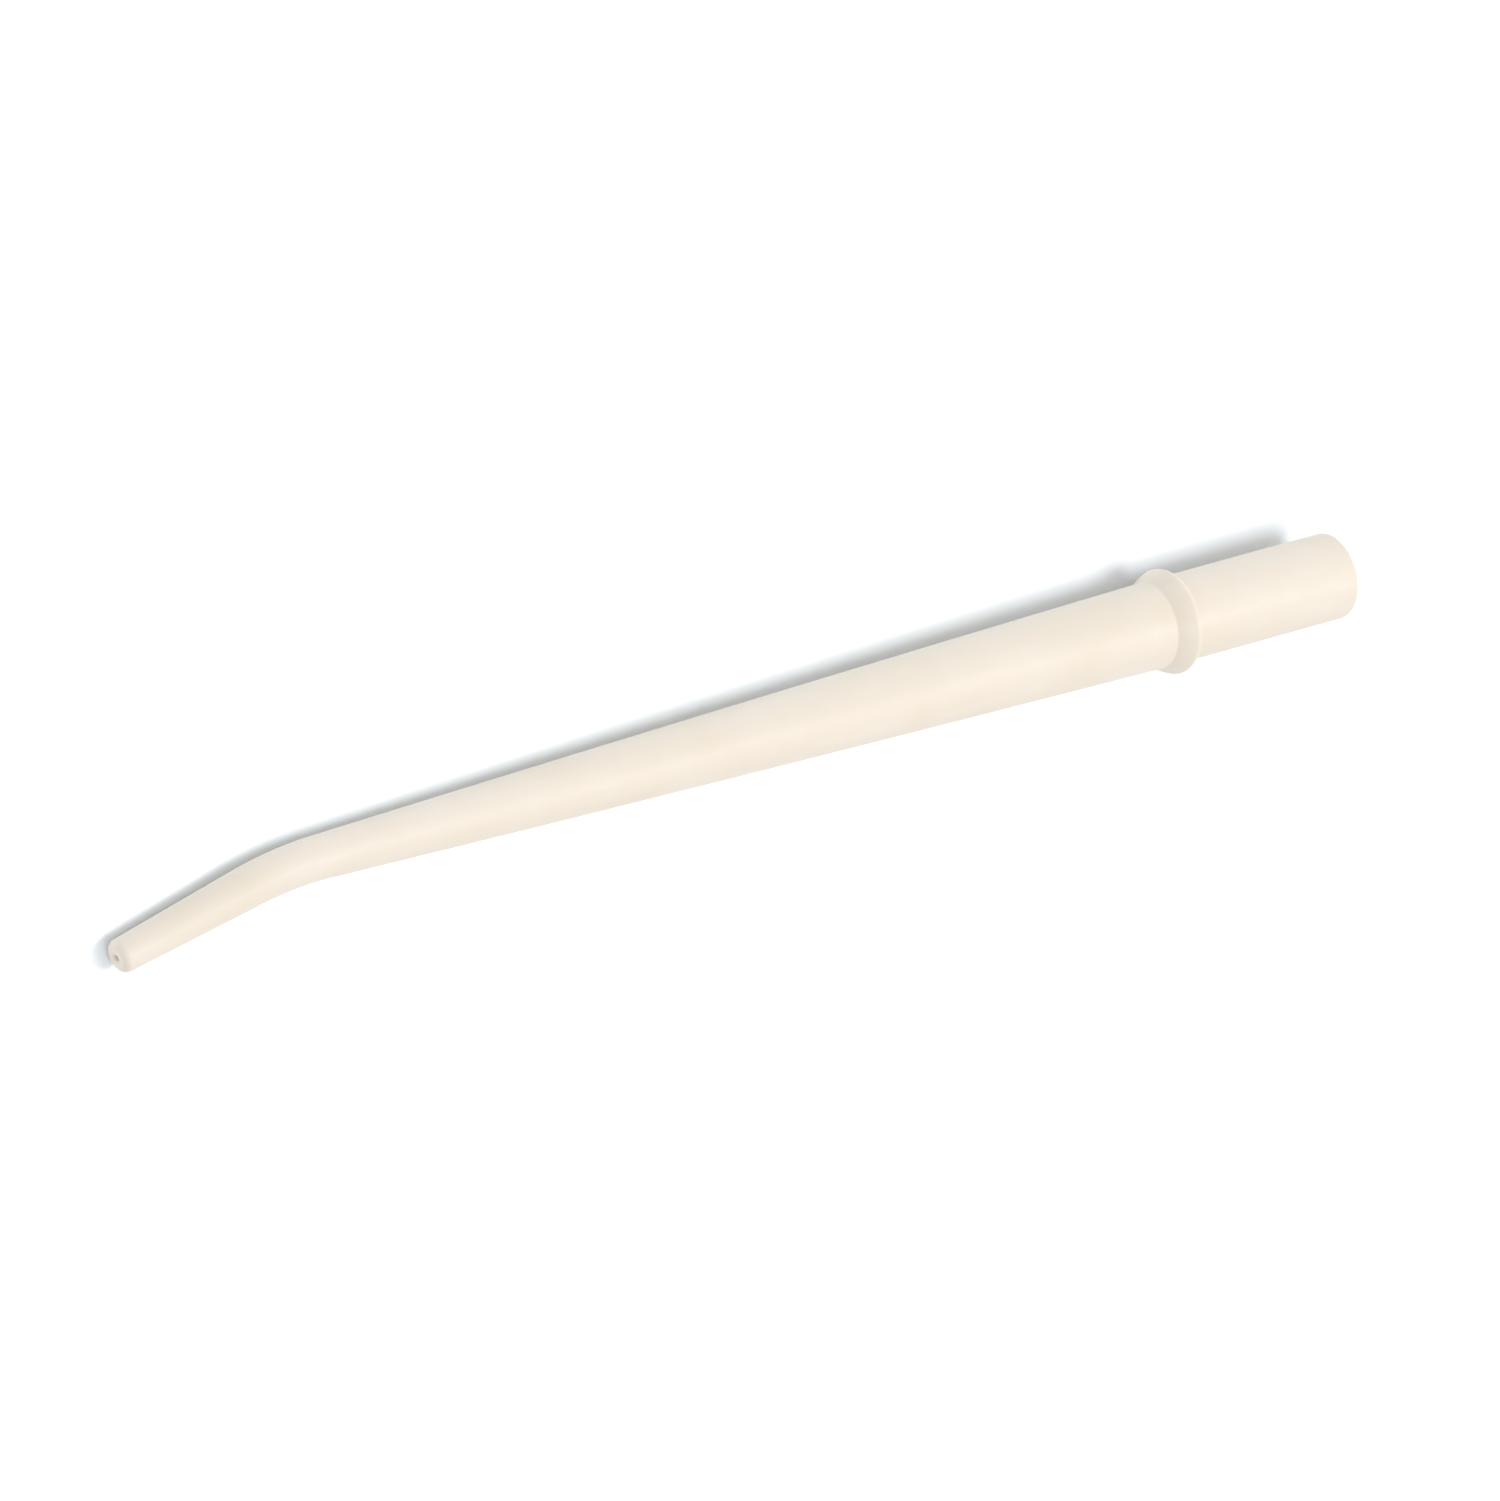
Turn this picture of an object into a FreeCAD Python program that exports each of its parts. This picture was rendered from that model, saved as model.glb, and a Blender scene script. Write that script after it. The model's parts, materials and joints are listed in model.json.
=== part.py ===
"""Surgical suction tip: one hollow plastic moulding, cut at its natural boundaries into sections.

It is drawn with its long axis on X: the sleeve's open end points to -X, the suction end to +X, and
the seat face of the stop ring is at x = 0. The nozzle bends towards +Y. The finished tip is then laid
down as it rests on a table, on its ring and along its nozzle. All sizes are in millimetres.
"""
import FreeCAD, Part
import math
import os

# Connector sleeve, which pushes into the suction valve
SLEEVE_R = 5.5
SLEEVE_LENGTH = 25.75
SLEEVE_RIM_ROUND = 0.55
SLEEVE_BORE_R = 4.4
BORE_LEAD_IN = 0.3

# Stop ring: a flat seat face, a rounded crest and a sloping front that is bowed outwards
RING_R = 6.7
RING_CREST_LENGTH = 0.95
RING_LENGTH = 3.25
RING_SEAT_ROUND = 0.85
RING_FRONT_RISE = 0.12

# Tapered barrel, whose outline bulges a little along its length
BARREL_LENGTH = 126.0
BARREL_ROOT_R = 5.5
BARREL_BULGE = 0.17
NECK_R = 2.75

# Bent neck
BEND_RADIUS = 50.0
BEND_ANGLE = 13.0

# Nozzle and its rounded suction end
NOZZLE_ROOT_R = 2.62
NOZZLE_LENGTH = 17.0
SUCTION_END_ROOT_R = 2.2
SUCTION_END_LENGTH = 2.5
SUCTION_END_R = 2.13
SUCTION_END_ROUND = 0.95
SUCTION_HOLE_R = 0.4
SUCTION_HOLE_LENGTH = 1.2
HOLE_LIP_ROUND = 0.45

# Lumen radii after the sleeve: at the neck, the nozzle's root and the suction end
LUMEN_NECK_R = 1.6
LUMEN_NOZZLE_R = 1.5
LUMEN_END_R = 1.2

BARREL_START = RING_LENGTH
NECK_START = BARREL_START + BARREL_LENGTH
X_AXIS = FreeCAD.Vector(1, 0, 0)
Y_AXIS = FreeCAD.Vector(0, 1, 0)
Z_AXIS = FreeCAD.Vector(0, 0, 1)
ORIGIN = FreeCAD.Vector(0, 0, 0)


def at(x, r):
    """A point of a turned outline, at x along the axis and r away from it."""
    return FreeCAD.Vector(x, r, 0)


def straight(*points):
    """Straight edges through (x, r) points."""
    return [Part.LineSegment(at(*a), at(*b)).toShape() for a, b in zip(points, points[1:])]


def bowed(start, end, rise):
    """One parabola between two (x, r) points, rise above the straight line at its middle."""
    control = at((start[0] + end[0]) / 2, (start[1] + end[1]) / 2 + 2 * rise)
    curve = Part.BezierCurve()
    curve.setPoles([at(*start), control, at(*end)])
    return [curve.toShape()]


def turned(*edges):
    """The solid that a closed outline of edges makes when it is turned about the X axis."""
    wire = Part.Wire(Part.__sortEdges__(list(edges)))
    return Part.Face(wire).revolve(ORIGIN, X_AXIS, 360)


def rounded(solid, x, r, radius):
    """The solid with its circular edge at x and r rounded."""
    def is_the_edge(edge):
        curve = edge.Curve
        if not isinstance(curve, Part.Circle):
            return False
        return abs(curve.Radius - r) < 1e-6 and abs(curve.Center.x - x) < 1e-6
    return solid.makeFillet(radius, [edge for edge in solid.Edges if is_the_edge(edge)])


def connector_sleeve():
    """A plain cylinder outside and in, with a rounded rim and a small lead-in at its open end."""
    end = -SLEEVE_LENGTH
    outline = straight(
        (0, SLEEVE_BORE_R),
        (0, SLEEVE_R),
        (end, SLEEVE_R),
        (end, SLEEVE_BORE_R + BORE_LEAD_IN),
        (end + BORE_LEAD_IN, SLEEVE_BORE_R),
        (0, SLEEVE_BORE_R),
    )
    return rounded(turned(*outline), end, SLEEVE_R, SLEEVE_RIM_ROUND)


def lumen_r(x):
    """Radius of the barrel's lumen at x, a straight taper from the ring's seat face to the neck."""
    return SLEEVE_BORE_R + (LUMEN_NECK_R - SLEEVE_BORE_R) * x / NECK_START


def stop_ring():
    """The bead that stops the sleeve at the valve's mouth, with the wall behind it."""
    crest = (RING_CREST_LENGTH, RING_R)
    foot = (RING_LENGTH, BARREL_ROOT_R)
    back = straight(
        foot,
        (RING_LENGTH, lumen_r(RING_LENGTH)),
        (0, SLEEVE_BORE_R),
        (0, RING_R),
        crest,
    )
    ring = turned(*back, *bowed(crest, foot, RING_FRONT_RISE))
    return rounded(ring, 0, RING_R, RING_SEAT_ROUND)


def tapered_barrel():
    """The long tube between the ring and the neck, its taper quickest towards the neck."""
    root = (BARREL_START, BARREL_ROOT_R)
    neck = (NECK_START, NECK_R)
    inside = straight(neck, (NECK_START, LUMEN_NECK_R), (BARREL_START, lumen_r(BARREL_START)), root)
    return turned(*bowed(root, neck, BARREL_BULGE), *inside)


def bent_taper(root_r, end_r):
    """A solid rod bent through the neck's arc, tapering from root_r to end_r."""
    centre = FreeCAD.Vector(NECK_START, BEND_RADIUS, 0)
    arc = Part.makeCircle(BEND_RADIUS, centre, Z_AXIS, 270, 270 + BEND_ANGLE)
    sweep = Part.BRepOffsetAPI.MakePipeShell(Part.Wire(arc))
    root = Part.makeCircle(root_r, FreeCAD.Vector(NECK_START, 0, 0), X_AXIS)
    end = Part.makeCircle(end_r, ORIGIN, X_AXIS)
    end.Placement = nozzle_place()
    sweep.add(Part.Wire(root))
    sweep.add(Part.Wire(end))
    sweep.build()
    sweep.makeSolid()
    return sweep.shape()


def bent_neck():
    """The short bend between the barrel and the nozzle."""
    return bent_taper(NECK_R, NOZZLE_ROOT_R).cut(bent_taper(LUMEN_NECK_R, LUMEN_NOZZLE_R))


def nozzle_place():
    """Where the neck ends: the nozzle's own axis starts there, turned by the bend."""
    turn = math.radians(BEND_ANGLE)
    x = NECK_START + BEND_RADIUS * math.sin(turn)
    y = BEND_RADIUS * (1 - math.cos(turn))
    return FreeCAD.Placement(FreeCAD.Vector(x, y, 0), FreeCAD.Rotation(Z_AXIS, BEND_ANGLE))


def nozzle():
    """The slim straight tube after the bend."""
    outline = straight(
        (0, LUMEN_NOZZLE_R),
        (0, NOZZLE_ROOT_R),
        (NOZZLE_LENGTH, SUCTION_END_ROOT_R),
        (NOZZLE_LENGTH, LUMEN_END_R),
        (0, LUMEN_NOZZLE_R),
    )
    tube = turned(*outline)
    tube.Placement = nozzle_place()
    return tube


def suction_end():
    """The rounded end of the nozzle, where the lumen narrows to the suction hole."""
    end = NOZZLE_LENGTH + SUCTION_END_LENGTH
    hole_start = end - SUCTION_HOLE_LENGTH
    outline = straight(
        (NOZZLE_LENGTH, LUMEN_END_R),
        (NOZZLE_LENGTH, SUCTION_END_ROOT_R),
        (end, SUCTION_END_R),
        (end, SUCTION_HOLE_R),
        (hole_start, SUCTION_HOLE_R),
        (NOZZLE_LENGTH, LUMEN_END_R),
    )
    cap = rounded(turned(*outline), end, SUCTION_END_R, SUCTION_END_ROUND)
    cap = rounded(cap, end, SUCTION_HOLE_R, HOLE_LIP_ROUND)
    cap.Placement = nozzle_place()
    return cap


def laid_down(shapes):
    """Tilt the tip until the ring and the nozzle's end stand on one level, then put that level at
    z = 0 and the middle of the footprint at the origin."""
    ring_x = RING_SEAT_ROUND
    end_x = nozzle_place().multVec(at(NOZZLE_LENGTH + SUCTION_END_LENGTH - SUCTION_END_ROUND, 0)).x
    drop = (RING_R - SUCTION_END_R) / (end_x - ring_x)
    tilt = FreeCAD.Placement(ORIGIN, FreeCAD.Rotation(Y_AXIS, math.degrees(math.asin(drop))))
    for shape in shapes:
        shape.Placement = tilt.multiply(shape.Placement)
    box = Part.makeCompound(shapes).optimalBoundingBox()
    shift = FreeCAD.Placement(
        FreeCAD.Vector(-box.Center.x, -box.Center.y, -box.ZMin), FreeCAD.Rotation())
    for shape in shapes:
        shape.Placement = shift.multiply(shape.Placement)
    return shapes


def main():
    os.makedirs("parts", exist_ok=True)
    makers = [connector_sleeve, stop_ring, tapered_barrel, bent_neck, nozzle, suction_end]
    shapes = laid_down([maker() for maker in makers])
    for maker, shape in zip(makers, shapes):
        shape.exportStep(f"parts/{maker.__name__}.step")


main()
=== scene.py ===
import bpy
import json
import math
from mathutils import Matrix, Vector


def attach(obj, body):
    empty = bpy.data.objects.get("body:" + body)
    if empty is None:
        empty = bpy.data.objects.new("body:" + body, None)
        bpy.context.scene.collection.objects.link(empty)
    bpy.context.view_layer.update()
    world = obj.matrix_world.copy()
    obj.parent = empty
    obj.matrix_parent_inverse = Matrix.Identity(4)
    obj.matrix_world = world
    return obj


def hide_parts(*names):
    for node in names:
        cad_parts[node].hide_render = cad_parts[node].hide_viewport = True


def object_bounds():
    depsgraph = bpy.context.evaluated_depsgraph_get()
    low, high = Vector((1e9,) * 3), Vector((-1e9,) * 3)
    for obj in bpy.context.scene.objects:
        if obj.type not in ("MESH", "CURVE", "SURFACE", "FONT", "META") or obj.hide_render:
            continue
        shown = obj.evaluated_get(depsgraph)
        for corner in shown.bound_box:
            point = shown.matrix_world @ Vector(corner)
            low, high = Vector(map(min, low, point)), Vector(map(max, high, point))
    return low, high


# A surgical suction tip: one hollow plastic moulding, shown as the sections it is cut into in the
# CAD model. Each section is drawn straight, along the barrel's axis, from the seat face of the stop
# ring, in millimetres. Geometry Nodes turn its outline round the axis, bend it through the neck, and
# it is then laid down where the connector's mount says.
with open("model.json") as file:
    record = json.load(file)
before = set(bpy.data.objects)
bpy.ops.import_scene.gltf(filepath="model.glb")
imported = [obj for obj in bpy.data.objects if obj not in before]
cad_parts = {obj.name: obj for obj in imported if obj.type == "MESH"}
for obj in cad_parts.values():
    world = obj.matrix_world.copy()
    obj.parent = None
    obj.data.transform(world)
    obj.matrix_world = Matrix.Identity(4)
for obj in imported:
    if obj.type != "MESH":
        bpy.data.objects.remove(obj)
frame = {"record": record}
cad_low, cad_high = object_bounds()
MM = 0.001

# ----------------------------------------------------------------------------------------------
# Connector sleeve: the plain thick-walled end that pushes into the suction valve. It is the wide
# end of the moulding and comes off the core pin here, so its bore is smooth and its rim is rounded
# where fingers and the valve's seal meet it.
# ----------------------------------------------------------------------------------------------
SLEEVE_R = 5.5
SLEEVE_LENGTH = 25.75
SLEEVE_RIM_ROUND = 0.55
SLEEVE_BORE_R = 4.4
BORE_LEAD_IN = 0.3
LEAD_IN_MOUTH_ROUND = 0.08
LEAD_IN_BORE_ROUND = 0.12
CREASE_ROUND = 0.18  # the steel of the mould leaves this at the foot of the ring, on each side
CHORD = math.radians(10)  # a rounding turns by no more than this from one chord to the next
SUPPORT = 0.09  # a row of points this far beside a rounding keeps its shading off the flat side
SAME_PLACE = 1e-6


def rounded_section(corners, spacing):
    """Points round a closed section, as (along, radius, outside). Corners are (along, radius,
    rounding, outside): each is rounded by short chords, and the sides between them are divided."""
    arcs = []
    for number, (along, radius, rounding, outside) in enumerate(corners):
        corner = Vector((along, radius))
        back = (Vector(corners[number - 1][:2]) - corner).normalized()
        ahead = (Vector(corners[(number + 1) % len(corners)][:2]) - corner).normalized()
        if not rounding:
            arcs.append(([corner], outside, False))
            continue
        half = back.angle(ahead) / 2
        centre = corner + (back + ahead).normalized() * (rounding / math.sin(half))
        start = corner + back * (rounding / math.tan(half)) - centre
        turn = start.angle_signed(corner + ahead * (rounding / math.tan(half)) - centre)
        steps = max(3, math.ceil(abs(turn) / CHORD))
        arcs.append(([centre + Matrix.Rotation(-turn * step / steps, 2) @ start
                      for step in range(steps + 1)], outside, True))
    points = []
    for (arc, outside, curved), (ahead, outside_ahead, curved_ahead) in zip(arcs, arcs[1:] + arcs[:1]):
        points += [(*point, outside) for point in arc]
        side = ahead[0] - arc[-1]
        support = SUPPORT if side.length > 4 * SUPPORT else 0
        first = support if curved else 0
        last = side.length - (support if curved_ahead else 0)
        steps = max(1, math.ceil((last - first) / spacing))
        for step in range(steps + 1):
            reach = first + (last - first) * step / steps
            if SAME_PLACE < reach < side.length - SAME_PLACE:
                points.append((*(arc[-1] + side.normalized() * reach), min(outside, outside_ahead)))
    return points


def add(tree, kind, inputs=(), **settings):
    """Adds a node with its settings. Its inputs are values, or outputs of other nodes."""
    made = tree.nodes.new(kind)
    for name, value in settings.items():
        setattr(made, name, value)
    for key, value in inputs.items() if isinstance(inputs, dict) else enumerate(inputs):
        if isinstance(value, bpy.types.NodeSocket):
            tree.links.new(value, made.inputs[key])
        else:
            made.inputs[key].default_value = value
    return made.outputs


moulding = bpy.data.node_groups.new("turned_and_bent_moulding", "GeometryNodeTree")
moulding.interface.new_socket("Section", in_out="INPUT", socket_type="NodeSocketGeometry")
for name, kind in {"Segments": "Int", "Bend Start": "Float", "Bend Radius": "Float",
                   "Bend Angle": "Float", "Parting Line": "Float", "Plastic": "Material"}.items():
    moulding.interface.new_socket(name, in_out="INPUT", socket_type="NodeSocket" + kind)
moulding.interface.new_socket("Moulding", in_out="OUTPUT", socket_type="NodeSocketGeometry")
given = add(moulding, "NodeGroupInput")

# One row of a grid for each point of the section, and one column for each step round the axis
count = add(moulding, "GeometryNodeAttributeDomainSize", [given["Section"]])["Point Count"]
rows = add(moulding, "ShaderNodeMath", [count, 1], operation="ADD")[0]
columns = add(moulding, "ShaderNodeMath", [given["Segments"], 1], operation="ADD")[0]
grid = add(moulding, "GeometryNodeMeshGrid", {"Vertices X": rows, "Vertices Y": columns})["Mesh"]
index = add(moulding, "GeometryNodeInputIndex")[0]
place = add(moulding, "ShaderNodeMath", [index, 0.5], operation="ADD")[0]
whole = add(moulding, "ShaderNodeMath", [place, columns], operation="DIVIDE")[0]
row = add(moulding, "ShaderNodeMath", [whole], operation="FLOOR")[0]
column = add(moulding, "ShaderNodeMath", [index, columns], operation="FLOORED_MODULO")[0]
point = add(moulding, "ShaderNodeMath", [row, count], operation="FLOORED_MODULO")[0]
position = add(moulding, "GeometryNodeInputPosition")[0]
drawn = add(moulding, "GeometryNodeSampleIndex", [given["Section"], position, point],
            data_type="FLOAT_VECTOR")[0]
along, radius, _ = add(moulding, "ShaderNodeSeparateXYZ", [drawn])
outside = add(moulding, "GeometryNodeInputNamedAttribute", ["outside"], data_type="FLOAT")[0]
outside = add(moulding, "GeometryNodeSampleIndex", [given["Section"], outside, point],
              data_type="FLOAT")[0]

# Round the axis, with a fine ridge down both sides in the plane of the bend: only the column of
# points on each side has a cosine this near to one
ON_PARTING_LINE = 0.9999
step = add(moulding, "ShaderNodeMath", [math.tau, given["Segments"]], operation="DIVIDE")[0]
turn = add(moulding, "ShaderNodeMath", [column, step], operation="MULTIPLY")[0]
across = add(moulding, "ShaderNodeMath", [turn], operation="COSINE")[0]
up = add(moulding, "ShaderNodeMath", [turn], operation="SINE")[0]
sideways = add(moulding, "ShaderNodeMath", [across], operation="ABSOLUTE")[0]
on_line = add(moulding, "ShaderNodeMath", [sideways, ON_PARTING_LINE], operation="GREATER_THAN")[0]
ridge = add(moulding, "ShaderNodeMath", [on_line, outside], operation="MULTIPLY")[0]
radius = add(moulding, "ShaderNodeMath", [ridge, given["Parting Line"], radius],
             operation="MULTIPLY_ADD")[0]
across = add(moulding, "ShaderNodeMath", [across, radius], operation="MULTIPLY")[0]
up = add(moulding, "ShaderNodeMath", [up, radius], operation="MULTIPLY")[0]

# Through the bend: the arc takes up what it can of the length, and the rest runs straight on
past = add(moulding, "ShaderNodeMath", [along, given["Bend Start"]], operation="SUBTRACT")[0]
bend = add(moulding, "ShaderNodeMath", [past, given["Bend Radius"]], operation="DIVIDE")[0]
bend = add(moulding, "ShaderNodeClamp", [bend, 0.0, given["Bend Angle"]])[0]
arc = add(moulding, "ShaderNodeMath", [bend, given["Bend Radius"]], operation="MULTIPLY")[0]
straight = add(moulding, "ShaderNodeMath", [along, arc], operation="SUBTRACT")[0]
straight = add(moulding, "ShaderNodeCombineXYZ", [straight, across, up])[0]
pivot = add(moulding, "ShaderNodeCombineXYZ", [given["Bend Start"], given["Bend Radius"], 0.0])[0]
bent = add(moulding, "ShaderNodeVectorRotate", {"Vector": straight, "Center": pivot, "Angle": bend},
           rotation_type="Z_AXIS")[0]

# Close the seams, and keep an edge sharp only where one section is cut from the next
MERGE_DISTANCE = 1e-7
SHARP_EDGE = math.radians(35)
shell = add(moulding, "GeometryNodeSetPosition", {"Geometry": grid, "Position": bent})[0]
shell = add(moulding, "GeometryNodeMergeByDistance",
            {"Geometry": shell, "Distance": MERGE_DISTANCE})[0]
shell = add(moulding, "GeometryNodeSetShadeSmooth", {"Geometry": shell, "Shade Smooth": True})[0]
crease = add(moulding, "GeometryNodeInputMeshEdgeAngle")["Unsigned Angle"]
crease = add(moulding, "ShaderNodeMath", [crease, SHARP_EDGE], operation="GREATER_THAN")[0]
shell = add(moulding, "GeometryNodeSetShadeSmooth",
            {"Geometry": shell, "Selection": crease, "Shade Smooth": False}, domain="EDGE")[0]
shell = add(moulding, "GeometryNodeRealizeInstances", {"Geometry": shell})[0]
shell = add(moulding, "GeometryNodeSetMaterial", {"Geometry": shell, "Material": given["Plastic"]})[0]
add(moulding, "NodeGroupOutput", [shell])


def linear(sRGB):
    """An sRGB hex colour as the linear RGBA that a shader takes."""
    parts = [int(sRGB[place:place + 2], 16) / 255 for place in (0, 2, 4)]
    return [p / 12.92 if p <= 0.04045 else ((p + 0.055) / 1.055) ** 2.4 for p in parts] + [1.0]


# Ivory polypropylene, injection moulded in a satin-finished steel mould: an opaque warm off-white
# with a low, broad sheen, clouded a little where the pigment is thicker, and drawn out along the
# flow. Its grain is finer than 0.1 mm, so it is drawn here at 0.4 mm, which is still barely seen.
IVORY = "F0E6D9"
IVORY_DEEPER = "EDE2D2"
IVORY_SPECK = "C9B79C"
POLYPROPYLENE_IOR = 1.49
SATIN_SPECULAR = 0.25
CLOUD_SIZE = 9 * MM
FLOW_SIZE = 2.5 * MM
FLOW_STRETCH = 0.12  # it draws the flow's streaks out to eight times their width, along the tip
FLOW_SHARE = 0.4  # of the pigment's pattern; the clouds are the rest
PIGMENT_LOW, PIGMENT_HIGH = 0.38, 0.62  # the pattern's values at which each ivory is reached
WEAR_SIZE = 4 * MM
WEAR_LOW, WEAR_HIGH = 0.3, 0.7  # the wear's values at which each roughness is reached
SMOOTHEST, ROUGHEST = 0.46, 0.54
WAVE_SIZE = 5 * MM
WAVE_DEPTH = 0.02 * MM
GRAIN_SIZE = 0.4 * MM
GRAIN_DEPTH = 0.003 * MM
SPECK_SPACING = 11 * MM
SPECK_CORE, SPECK_EDGE = 0.012, 0.022  # its radii, as parts of the spacing
SPECK_STRENGTH = 0.55
COLOUR_A, COLOUR_B, COLOUR_OUT = 6, 7, 2  # a Mix node's colour sockets, by number
satin_polypropylene = bpy.data.materials.new("satin_moulded_ivory_polypropylene")
satin_polypropylene.use_nodes = True
nodes = satin_polypropylene.node_tree
shader = next(node for node in nodes.nodes if node.type == "BSDF_PRINCIPLED")
shader.inputs["IOR"].default_value = POLYPROPYLENE_IOR
shader.inputs["Specular IOR Level"].default_value = SATIN_SPECULAR
here = add(nodes, "ShaderNodeTexCoord")["Object"]
cloud = add(nodes, "ShaderNodeTexNoise", {"Vector": here, "Scale": 1 / CLOUD_SIZE, "Detail": 3.0})[0]
flow = add(nodes, "ShaderNodeMapping", {"Vector": here, "Scale": (FLOW_STRETCH, 1.0, 1.0)})[0]
flow = add(nodes, "ShaderNodeTexNoise", {"Vector": flow, "Scale": 1 / FLOW_SIZE, "Detail": 2.0})[0]
pigment = add(nodes, "ShaderNodeMix", {"Factor": FLOW_SHARE, "A": cloud, "B": flow})[0]
pigment = add(nodes, "ShaderNodeMapRange", {"Value": pigment, "From Min": PIGMENT_LOW,
                                           "From Max": PIGMENT_HIGH})[0]
colour_mix = add(nodes, "ShaderNodeMix", {"Factor": pigment}, data_type="RGBA")[COLOUR_OUT].node
colour_mix.inputs[COLOUR_A].default_value = linear(IVORY)
colour_mix.inputs[COLOUR_B].default_value = linear(IVORY_DEEPER)
speck = add(nodes, "ShaderNodeTexVoronoi", {"Vector": here, "Scale": 1 / SPECK_SPACING})["Distance"]
speck = add(nodes, "ShaderNodeMapRange", [speck, SPECK_CORE, SPECK_EDGE, SPECK_STRENGTH, 0.0])[0]
specked_mix = add(nodes, "ShaderNodeMix", {"Factor": speck}, data_type="RGBA")[COLOUR_OUT].node
nodes.links.new(colour_mix.outputs[COLOUR_OUT], specked_mix.inputs[COLOUR_A])
specked_mix.inputs[COLOUR_B].default_value = linear(IVORY_SPECK)
nodes.links.new(specked_mix.outputs[COLOUR_OUT], shader.inputs["Base Color"])
wear = add(nodes, "ShaderNodeTexNoise", {"Vector": here, "Scale": 1 / WEAR_SIZE, "Detail": 4.0})[0]
wear = add(nodes, "ShaderNodeMapRange", [wear, WEAR_LOW, WEAR_HIGH, SMOOTHEST, ROUGHEST])[0]
nodes.links.new(wear, shader.inputs["Roughness"])
grain = add(nodes, "ShaderNodeTexNoise", {"Vector": here, "Scale": 1 / GRAIN_SIZE, "Detail": 2.0})[0]
grain = add(nodes, "ShaderNodeBump", {"Height": grain, "Distance": GRAIN_DEPTH})[0]
waves = add(nodes, "ShaderNodeTexNoise", {"Vector": here, "Scale": 1 / WAVE_SIZE, "Detail": 1.0})[0]
waves = add(nodes, "ShaderNodeBump", {"Height": waves, "Distance": WAVE_DEPTH, "Normal": grain})[0]
nodes.links.new(waves, shader.inputs["Normal"])

# The neck's bend, which the sections beyond it follow too, and the steps round every section
BARREL_START = 3.25
BARREL_LENGTH = 126.0
NECK_START = BARREL_START + BARREL_LENGTH
BEND_RADIUS = 50.0
BEND_ANGLE = math.radians(13)
SEGMENTS = 120
PARTING_LINE = 0.02

# The tip lies with its axis along the connector's mount, and its bend level with the table
connector = next(m for m in frame["record"]["mounts"] if m["name"] == "connector")
to_tip = -Vector(connector["axis"]).normalized()
sideways = Vector((0, 1, 0))
seat_centre = Vector(connector["pos_m"]) + to_tip * (connector["dims"]["length_mm"] / 2 * MM)
laid_down = Matrix((to_tip, sideways, to_tip.cross(sideways))).transposed().to_4x4()
laid_down.translation = seat_centre


def moulded(name, section):
    """A finished section of the tip: its outline turned, bent and laid down, as a plain mesh."""
    mesh = bpy.data.meshes.new(name)
    mesh.from_pydata([(along * MM, radius * MM, 0) for along, radius, _ in section], [], [])
    mesh.attributes.new("outside", "FLOAT", "POINT").data.foreach_set("value", [p[2] for p in section])
    piece = bpy.data.objects.new(name, mesh)
    bpy.context.scene.collection.objects.link(piece)
    modifier = piece.modifiers.new("moulding", "NODES")
    modifier.node_group = moulding
    sizes = {"Segments": SEGMENTS, "Bend Start": NECK_START * MM, "Bend Radius": BEND_RADIUS * MM,
             "Bend Angle": BEND_ANGLE, "Parting Line": PARTING_LINE * MM,
             "Plastic": satin_polypropylene}
    for socket in moulding.interface.items_tree:
        if socket.name in sizes:
            modifier[socket.identifier] = sizes[socket.name]
    finished = piece.evaluated_get(bpy.context.evaluated_depsgraph_get())
    piece.data = bpy.data.meshes.new_from_object(finished)
    piece.modifiers.clear()
    piece.data.name = name
    piece.data.transform(laid_down)
    return piece


sleeve_end = -SLEEVE_LENGTH
sleeve = moulded("sleeve_moulding", rounded_section([
    (-CREASE_ROUND, SLEEVE_BORE_R, 0, 0),
    (-CREASE_ROUND, SLEEVE_R, 0, 1),
    (sleeve_end, SLEEVE_R, SLEEVE_RIM_ROUND, 1),
    (sleeve_end, SLEEVE_BORE_R + BORE_LEAD_IN, LEAD_IN_MOUTH_ROUND, 0),
    (sleeve_end + BORE_LEAD_IN, SLEEVE_BORE_R, LEAD_IN_BORE_ROUND, 0),
], spacing=1.0))
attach(sleeve, "root")
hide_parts("connector_sleeve")

# ----------------------------------------------------------------------------------------------
# Stop ring: the bead that stops the sleeve at the valve's mouth. It is moulded round the root of
# the barrel, with a flat seat face towards the sleeve, a rounded crest and a sloping front that is
# bowed outwards a little.
# ----------------------------------------------------------------------------------------------
RING_R = 6.7
RING_CREST_LENGTH = 0.95
RING_CREST_ROUND = 0.3
RING_SEAT_ROUND = 0.85
RING_FRONT_RISE = 0.12
RING_FRONT_STEPS, FOOT_STEPS = 10, 2  # the foot's rounding takes up the first steps
SEAT_CREASE_ROUND = CREASE_ROUND * 0.98  # it stops just short of where the sleeve is cut off
BARREL_ROOT_R = 5.5
NECK_R = 2.75
BARREL_BULGE = 0.17
LUMEN_NECK_R = 1.6


def barrel_r(along):
    """Outside radius of the barrel: a straight taper that bulges a little."""
    part = (along - BARREL_START) / BARREL_LENGTH
    return BARREL_ROOT_R + (NECK_R - BARREL_ROOT_R) * part + 4 * BARREL_BULGE * part * (1 - part)


def lumen_r(along):
    """Radius of the lumen between the ring's seat face and the neck."""
    return SLEEVE_BORE_R + (LUMEN_NECK_R - SLEEVE_BORE_R) * along / NECK_START


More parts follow.
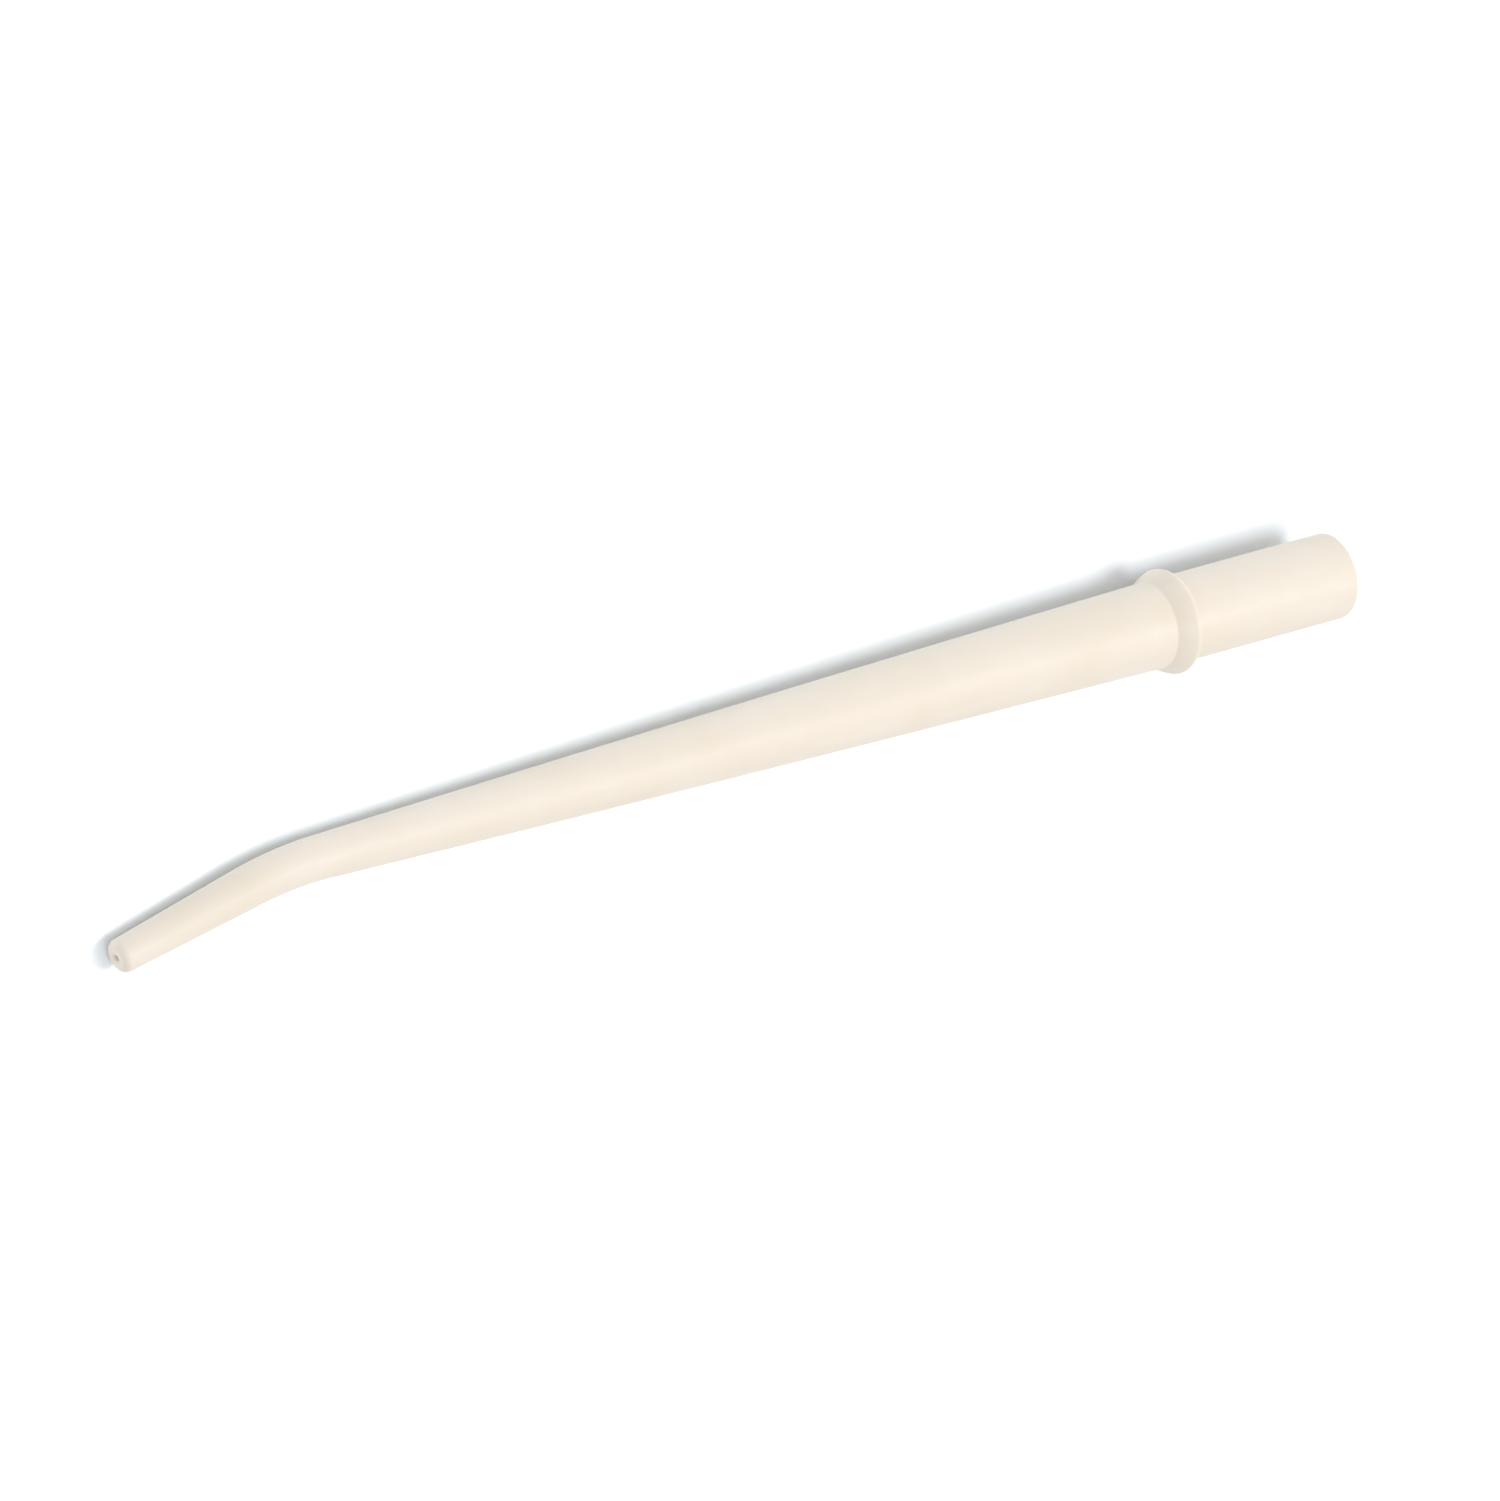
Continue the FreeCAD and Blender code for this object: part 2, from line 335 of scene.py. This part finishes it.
def ring_front(part):
    """A point of the ring's front, from its foot on the barrel (0) up to its crest (1)."""
    along = BARREL_START + (RING_CREST_LENGTH - BARREL_START) * part
    straight_r = BARREL_ROOT_R + (RING_R - BARREL_ROOT_R) * part
    return along, straight_r + 4 * RING_FRONT_RISE * part * (1 - part)


# The ring's piece runs a little way on to the sleeve and the barrel, so that it holds both creases
ring_end = BARREL_START + 2 * CREASE_ROUND
ring = moulded("ring_moulding", rounded_section([
    (ring_end, lumen_r(ring_end), 0, 0),
    (ring_end, barrel_r(ring_end), 0, 1),
    (*ring_front(0), CREASE_ROUND, 1),
    *((*ring_front(step / RING_FRONT_STEPS), 0, 1) for step in range(FOOT_STEPS, RING_FRONT_STEPS)),
    (*ring_front(1), RING_CREST_ROUND, 1),
    (0, RING_R, RING_SEAT_ROUND, 1),
    (0, SLEEVE_R, SEAT_CREASE_ROUND, 1),
    (-CREASE_ROUND, SLEEVE_R, 0, 1),
    (-CREASE_ROUND, SLEEVE_BORE_R, 0, 0),
    (0, SLEEVE_BORE_R, 0, 0),
], spacing=0.6))
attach(ring, "root")
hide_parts("stop_ring")

# ----------------------------------------------------------------------------------------------
# Tapered barrel: the long tube that the fingers hold, tapering from the ring to the neck, its taper
# quickest near the neck. The lumen inside it is drawn by a long tapered core pin.
# ----------------------------------------------------------------------------------------------
BARREL_STEPS = 90
barrel_stations = [ring_end + (NECK_START - ring_end) * step / BARREL_STEPS
                   for step in range(BARREL_STEPS + 1)]
barrel = moulded("barrel_moulding", rounded_section([
    (NECK_START, LUMEN_NECK_R, 0, 0),
    *((along, barrel_r(along), 0, 1) for along in reversed(barrel_stations)),
    (ring_end, lumen_r(ring_end), 0, 0),
], spacing=2.5))
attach(barrel, "root")
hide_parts("tapered_barrel")

# ----------------------------------------------------------------------------------------------
# Bent neck: the short curve that sets the nozzle at an angle, so that the hand stays out of the
# way. It is one moulding with the barrel, and the tube keeps its round section through the bend.
# ----------------------------------------------------------------------------------------------
NOZZLE_START = NECK_START + BEND_RADIUS * BEND_ANGLE
NOZZLE_ROOT_R = 2.62
LUMEN_NOZZLE_R = 1.5
neck = moulded("neck_moulding", rounded_section([
    (NOZZLE_START, LUMEN_NOZZLE_R, 0, 0),
    (NOZZLE_START, NOZZLE_ROOT_R, 0, 1),
    (NECK_START, NECK_R, 0, 1),
    (NECK_START, LUMEN_NECK_R, 0, 0),
], spacing=0.35))
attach(neck, "root")
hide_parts("bent_neck")

# ----------------------------------------------------------------------------------------------
# Nozzle: the slim straight tube after the bend, tapering to the end that reaches the wound. It is
# the same plastic, moulded in one with the neck, and slim so that it doesn't hide the wound.
# ----------------------------------------------------------------------------------------------
NOZZLE_LENGTH = 17.0
NOZZLE_END = NOZZLE_START + NOZZLE_LENGTH
SUCTION_END_ROOT_R = 2.2
LUMEN_END_R = 1.2
nozzle = moulded("nozzle_moulding", rounded_section([
    (NOZZLE_END, LUMEN_END_R, 0, 0),
    (NOZZLE_END, SUCTION_END_ROOT_R, 0, 1),
    (NOZZLE_START, NOZZLE_ROOT_R, 0, 1),
    (NOZZLE_START, LUMEN_NOZZLE_R, 0, 0),
], spacing=0.8))
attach(nozzle, "root")
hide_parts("nozzle")

# ----------------------------------------------------------------------------------------------
# Suction end: the nozzle's rounded end, blunt so that it doesn't hurt tissue, where the lumen
# narrows to the small suction hole. The core pin leaves a slightly rounded lip round the hole.
# ----------------------------------------------------------------------------------------------
SUCTION_END_LENGTH = 2.5
SUCTION_FACE = NOZZLE_END + SUCTION_END_LENGTH
SUCTION_END_R = 2.13
SUCTION_END_ROUND = 0.95
SUCTION_HOLE_R = 0.4
SUCTION_HOLE_LENGTH = 1.2
HOLE_LIP_ROUND = 0.45
HOLE_INNER_ROUND = 0.15
suction_end = moulded("suction_end_moulding", rounded_section([
    (NOZZLE_END, LUMEN_END_R, 0, 0),
    (SUCTION_FACE - SUCTION_HOLE_LENGTH, SUCTION_HOLE_R, HOLE_INNER_ROUND, 0),
    (SUCTION_FACE, SUCTION_HOLE_R, HOLE_LIP_ROUND, 0),
    (SUCTION_FACE, SUCTION_END_R, SUCTION_END_ROUND, 1),
    (NOZZLE_END, SUCTION_END_ROOT_R, 0, 1),
], spacing=0.3))
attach(suction_end, "root")
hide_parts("suction_end")

# ----------------------------------------------------------------------------------------------
# The table: a plain white studio board, matt, on which the tip lies on its ring and its nozzle. Its
# white is faintly cool, as brightened paper is, so that the cream plastic doesn't warm its shadow.
# ----------------------------------------------------------------------------------------------
FLOOR_SIDE = 12.0
BOARD_WHITE = "F1F6FB"
BOARD_WHITER = "F3F9FE"
TOOTH_SIZE = 3 * MM
board_mesh = bpy.data.meshes.new("board")
half = FLOOR_SIDE / 2
board_mesh.from_pydata([(-half, -half, 0), (half, -half, 0), (half, half, 0), (-half, half, 0)], [],
                       [(0, 1, 2, 3)])
board = bpy.data.objects.new("board", board_mesh)
bpy.context.scene.collection.objects.link(board)
matt_board = bpy.data.materials.new("matt_white_board")
matt_board.use_nodes = True
nodes = matt_board.node_tree
shader = next(node for node in nodes.nodes if node.type == "BSDF_PRINCIPLED")
shader.inputs["Roughness"].default_value = 1.0
shader.inputs["Specular IOR Level"].default_value = 0.0
here = add(nodes, "ShaderNodeTexCoord")["Object"]
tooth = add(nodes, "ShaderNodeTexNoise", {"Vector": here, "Scale": 1 / TOOTH_SIZE, "Detail": 3.0})[0]
board_mix = add(nodes, "ShaderNodeMix", {"Factor": tooth}, data_type="RGBA")[COLOUR_OUT].node
board_mix.inputs[COLOUR_A].default_value = linear(BOARD_WHITE)
board_mix.inputs[COLOUR_B].default_value = linear(BOARD_WHITER)
nodes.links.new(board_mix.outputs[COLOUR_OUT], shader.inputs["Base Color"])
board_mesh.materials.append(matt_board)

# ----------------------------------------------------------------------------------------------
# Light: a white tent all round, a strong soft box overhead on the sleeve's side, a weak one before
# the tip, and a lamp that only washes the board white.
# ----------------------------------------------------------------------------------------------
TENT_STRENGTH = 0.62
OVERHEAD_PLACE = (-1.0, -0.14, 2.15)
OVERHEAD_WATTS = 29.0
BEFORE_TIP_PLACE = (1.6, -0.15, 1.3)
BEFORE_TIP_WATTS = 2.5
SOFT_BOX = {"shape": "RECTANGLE", "size": 0.85, "size_y": 1.2}
WASH_PLACE = (0, 0.22, 1.0)
WASH_STRENGTH = 0.5
WASH_SPREAD = math.radians(24)
tent = bpy.data.worlds.new("white_tent")
tent.use_nodes = True
tent.node_tree.nodes["Background"].inputs["Color"].default_value = (1.0, 1.0, 1.0, 1.0)
tent.node_tree.nodes["Background"].inputs["Strength"].default_value = TENT_STRENGTH
bpy.context.scene.world = tent


def lamp(name, kind, place, strength, **settings):
    """A lamp at a place in metres, shining on the middle of the tip."""
    light = bpy.data.lights.new(name, kind)
    light.energy = strength
    for setting, value in settings.items():
        setattr(light, setting, value)
    holder = bpy.data.objects.new(name, light)
    holder.location = place
    holder.rotation_euler = (-Vector(place)).to_track_quat("-Z", "Y").to_euler()
    bpy.context.scene.collection.objects.link(holder)
    return holder


lamp("soft_box_overhead", "AREA", OVERHEAD_PLACE, OVERHEAD_WATTS, **SOFT_BOX)
lamp("soft_box_before_tip", "AREA", BEFORE_TIP_PLACE, BEFORE_TIP_WATTS, **SOFT_BOX)
wash = lamp("board_wash", "SUN", WASH_PLACE, WASH_STRENGTH, angle=WASH_SPREAD)
washed = bpy.data.collections.new("washed_board")
washed.objects.link(board)
wash.light_linking.receiver_collection = washed

# ----------------------------------------------------------------------------------------------
# Camera: a long lens from above, at the nozzle's end, rolled so that the tip lies across the view.
# ----------------------------------------------------------------------------------------------
AZIMUTH = math.radians(58.912)
ELEVATION = math.radians(47.481)
ROLL = math.radians(-112.846)
DISTANCE = 1.70907
AIM_FROM_CENTRE = Vector((-2.7, 2.094, -3.6)) * MM
SENSOR_WIDTH = 36.0
FOCAL_LENGTH = 336.0
SEES_AS_FAR_AS = 100.0
camera_data = bpy.data.cameras.new("camera")
camera_data.sensor_fit = "HORIZONTAL"
camera_data.sensor_width = SENSOR_WIDTH
camera_data.lens = FOCAL_LENGTH
camera_data.clip_end = SEES_AS_FAR_AS
camera = bpy.data.objects.new("camera", camera_data)
back = Vector((math.sin(AZIMUTH) * math.cos(ELEVATION), -math.cos(AZIMUTH) * math.cos(ELEVATION),
               math.sin(ELEVATION)))
level = (-back).cross(Vector((0, 0, 1))).normalized()
upright = level.cross(-back)
top = upright * math.cos(ROLL) + level * math.sin(ROLL)
camera.matrix_world = Matrix.LocRotScale(
    (cad_low + cad_high) / 2 + AIM_FROM_CENTRE + back * DISTANCE,
    Matrix(((-back).cross(top), top, back)).transposed(), None)
bpy.context.scene.collection.objects.link(camera)
bpy.context.scene.camera = camera
bpy.context.scene.view_settings.view_transform = "Standard"
